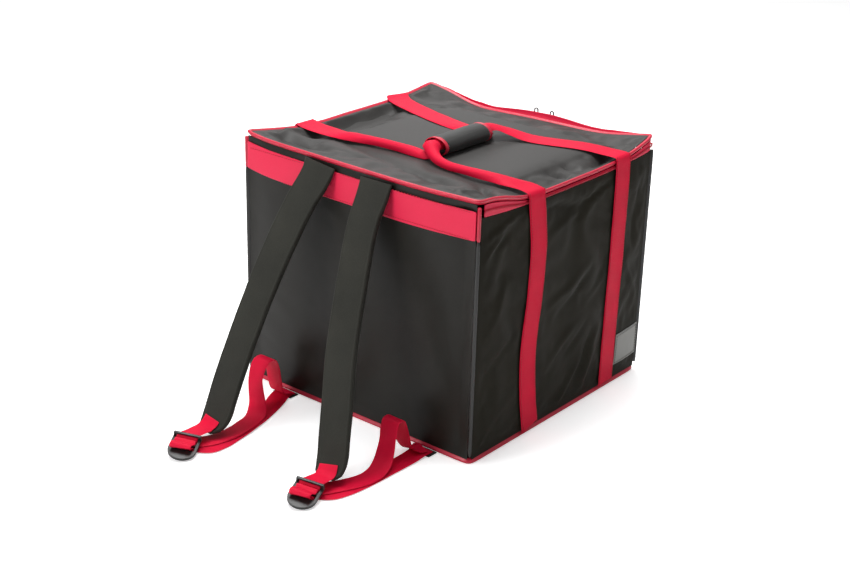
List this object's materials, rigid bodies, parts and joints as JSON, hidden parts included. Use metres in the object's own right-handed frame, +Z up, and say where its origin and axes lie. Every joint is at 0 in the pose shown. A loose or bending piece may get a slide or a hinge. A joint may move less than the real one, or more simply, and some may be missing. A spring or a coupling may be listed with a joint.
{
  "type": "insulated delivery backpack",
  "caption": "Box-shaped insulated backpack with a zipped lid, carry handles over lid and sides, shoulder straps and ladder-lock adjusters.",
  "frame": {"origin": "middle of the base, on the floor that it stands on", "axes": "+Z up, -Y out of the back panel that carries the shoulder straps, +X out of the right side panel with the reflective patch"},
  "size_m": [0.4424, 0.695, 0.401],
  "materials": {
    "shell_fabric": "coated woven polyester over foam, slight sheen",
    "back_fabric": "smooth coated polyester over stiff foam, soft sheen",
    "lid_fabric": "coated woven polyester over foam, slight sheen",
    "piping": "red coated piping",
    "dark_piping": "dark coated piping",
    "zip": "red nylon coil zip",
    "webbing": "red woven polypropylene webbing",
    "grip": "dark coated fabric",
    "grip_binding": "red bias binding",
    "band": "red coated fabric",
    "strap": "dark padded woven strap",
    "lock": "moulded acetal",
    "reflective": "silver retroreflective tape",
    "zip_metal": "cast metal, worn"
  },
  "bodies": {
    "root": {"side_panel_right": "shell_fabric", "side_panel_left": "shell_fabric", "panel_front": "shell_fabric", "panel_back": "back_fabric", "lid_panel": "lid_fabric", "base_panel": "shell_fabric", "lid_piping": "piping", "base_piping": "piping", "corner_piping_back_left": "dark_piping", "corner_piping_back_right": "dark_piping", "corner_piping_front_left": "dark_piping", "corner_piping_front_right": "dark_piping", "corner_binding_back_left": "piping", "corner_binding_back_right": "piping", "zip_tape_upper": "zip", "zip_tape_lower": "zip", "zip_coil": "zip", "carry_handle_right": "webbing", "carry_handle_left": "webbing", "grip_wrap": "grip", "grip_binding_near": "grip_binding", "grip_binding_far": "grip_binding", "back_band": "band", "shoulder_strap_right": "strap", "ladder_lock_right": "lock", "strap_webbing_right": "webbing", "lock_webbing_right": "webbing", "anchor_tab_right": "strap", "shoulder_strap_left": "strap", "ladder_lock_left": "lock", "strap_webbing_left": "webbing", "lock_webbing_left": "webbing", "anchor_tab_left": "strap", "reflective_patch": "reflective", "zip_slider_left": "zip_metal", "zip_pull_left": "zip_metal", "zip_slider_right": "zip_metal", "zip_pull_right": "zip_metal"}
  },
  "joints": []
}
